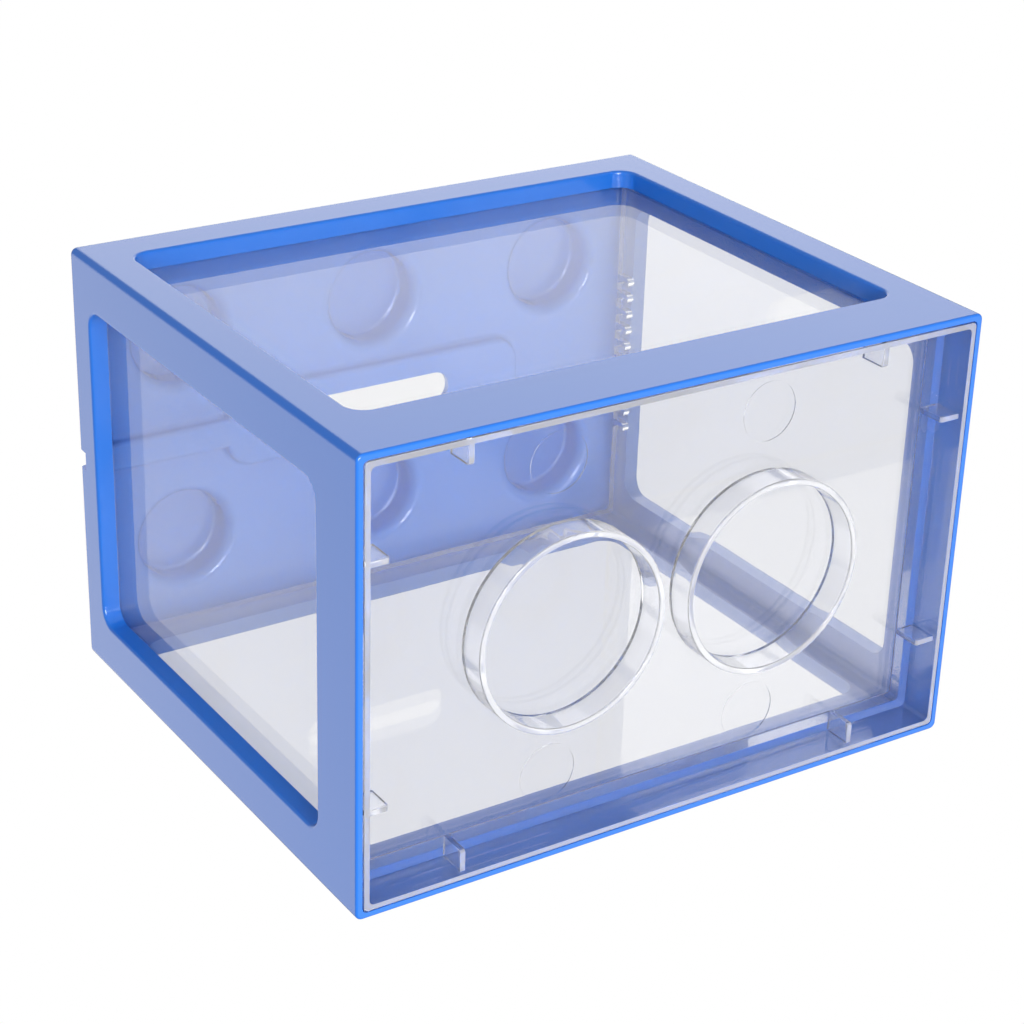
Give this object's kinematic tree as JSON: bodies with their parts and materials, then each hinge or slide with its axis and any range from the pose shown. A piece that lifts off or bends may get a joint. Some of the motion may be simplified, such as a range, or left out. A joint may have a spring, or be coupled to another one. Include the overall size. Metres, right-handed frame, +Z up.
{
  "type": "stackable betta fish tank",
  "caption": "Small clear fish tank in a studded shell with a window in each side; the shell lifts off, and tanks stack and lock together.",
  "frame": {"origin": "middle of the underside, on the plane that the tank rests on", "axes": "+X along the long side, to the right when the air-line groove is on the left; +Y to the back; +Z up, the way the studs point"},
  "size_m": [0.192, 0.128, 0.1715],
  "materials": {
    "shell": "glossy opaque blue moulding",
    "tank": "clear glossy plastic"
  },
  "bodies": {
    "tank": {"clear_tank": "tank"},
    "shell": {"blue_shell": "shell"}
  },
  "joints": [
    {"name": "shell_lift", "type": "slide", "parent": "tank", "child": "shell", "axis": [0, 0, 1], "range_m": [0, 0.17]}
  ]
}
